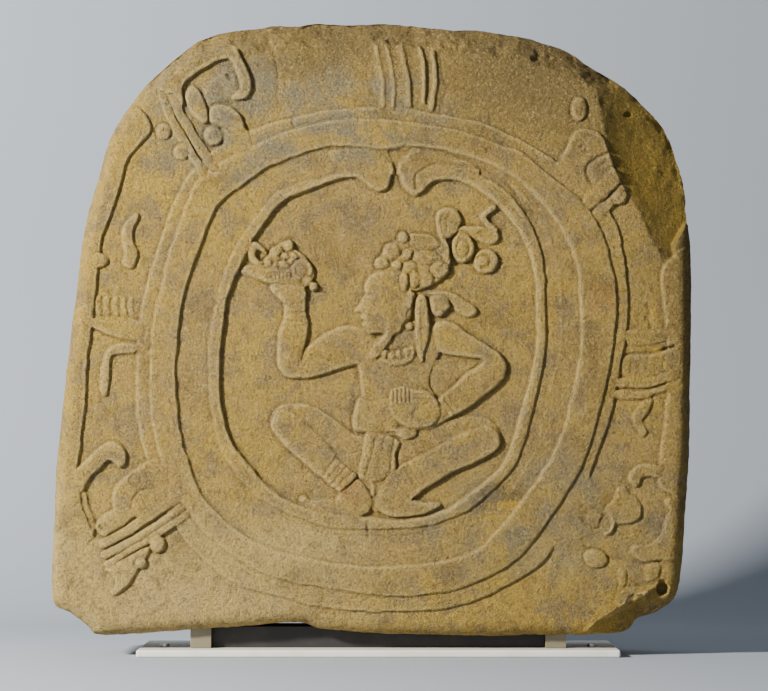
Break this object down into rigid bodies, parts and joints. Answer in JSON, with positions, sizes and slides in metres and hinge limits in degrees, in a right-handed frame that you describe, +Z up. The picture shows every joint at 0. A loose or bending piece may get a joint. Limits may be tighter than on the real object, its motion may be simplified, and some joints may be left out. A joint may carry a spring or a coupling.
{
  "type": "carved stone stele",
  "caption": "Upright carved stone slab with a rounded top, low relief of a seated figure in an oval ring, worn and chipped, resting on a small metal mount",
  "frame": {"origin": "centre of the bounding box, on the surface that the mount's plate rests on", "axes": "+X to the viewer's right, carved front faces -Y, +Z up"},
  "size_m": [0.678, 0.15, 0.6732],
  "materials": {
    "sandstone": "weathered, sandy, patches of ochre and grey patina",
    "plate_paint": "satin off-white paint",
    "post_paint": "satin olive paint",
    "block_paint": "matt black paint",
    "screw_steel": "plain steel"
  },
  "bodies": {
    "root": {"stone_slab": "sandstone", "base_plate": "plate_paint", "post_left": "post_paint", "post_right": "post_paint", "support_block": "block_paint", "screw_left": "screw_steel", "screw_right": "screw_steel"}
  },
  "joints": []
}
